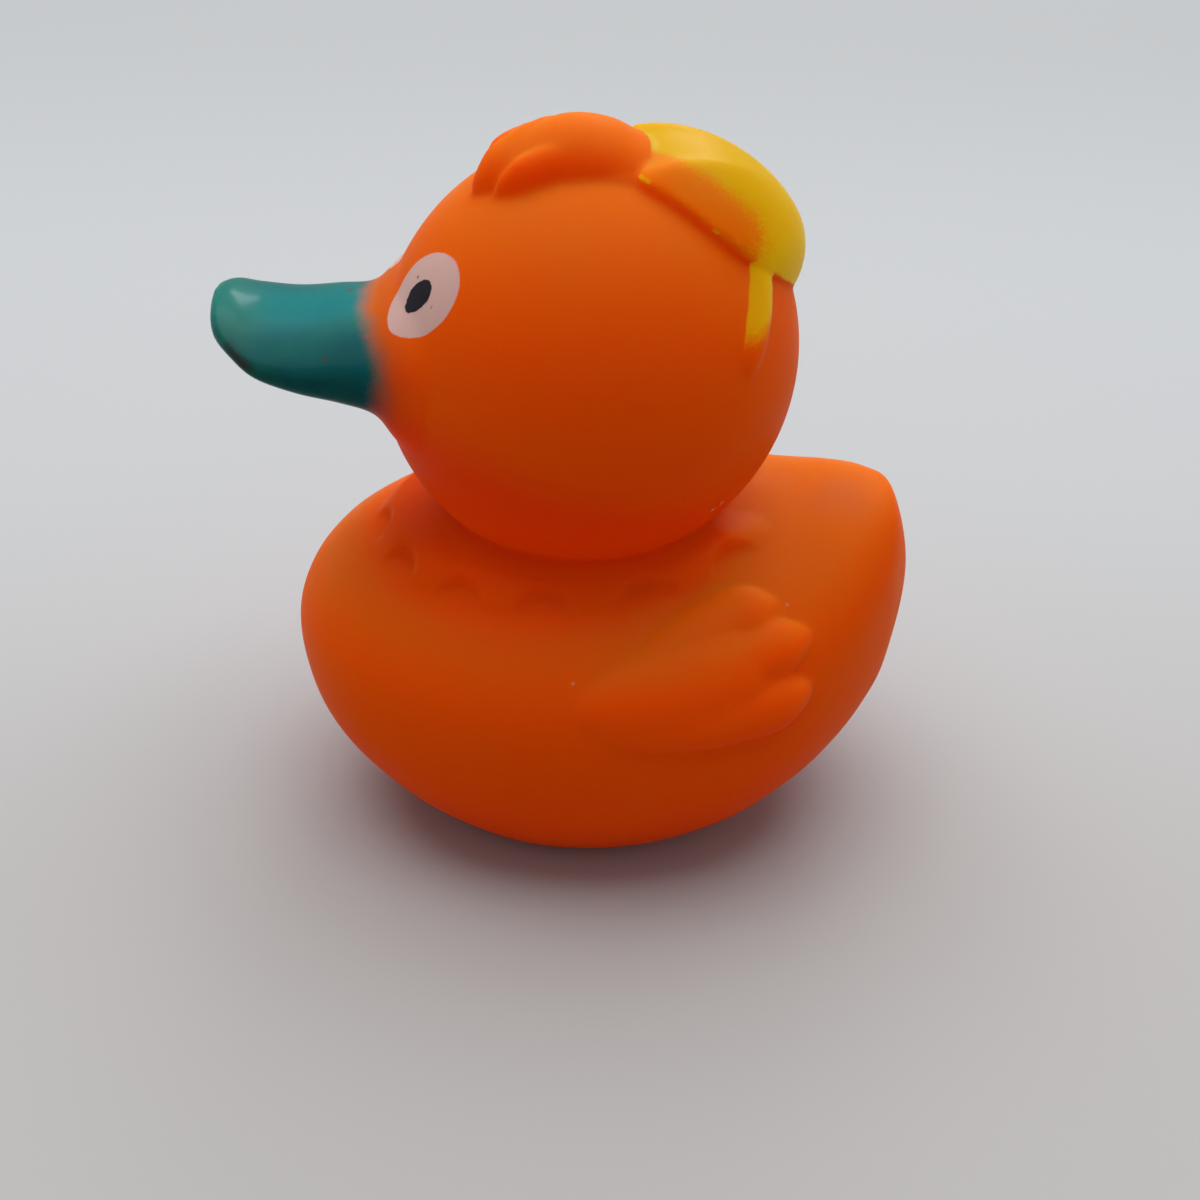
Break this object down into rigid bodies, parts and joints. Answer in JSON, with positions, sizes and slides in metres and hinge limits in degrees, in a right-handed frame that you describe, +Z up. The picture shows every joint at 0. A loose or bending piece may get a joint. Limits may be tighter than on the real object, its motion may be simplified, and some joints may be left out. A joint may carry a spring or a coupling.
{
  "type": "rubber duck",
  "caption": "Hollow moulded duck-shaped bath figure with a flat base, a wide bill, a domed cap, a scalloped collar and raised wings.",
  "frame": {"origin": "middle of the bounding box's base, on the surface the duck stands on", "axes": "+Z up, the bill points along -Y, and the duck's own left side is towards +X"},
  "size_m": [0.0438, 0.0628, 0.0666],
  "materials": {
    "vinyl": "satin soft vinyl"
  },
  "bodies": {
    "root": {"rubber_duck": "vinyl"}
  },
  "joints": []
}
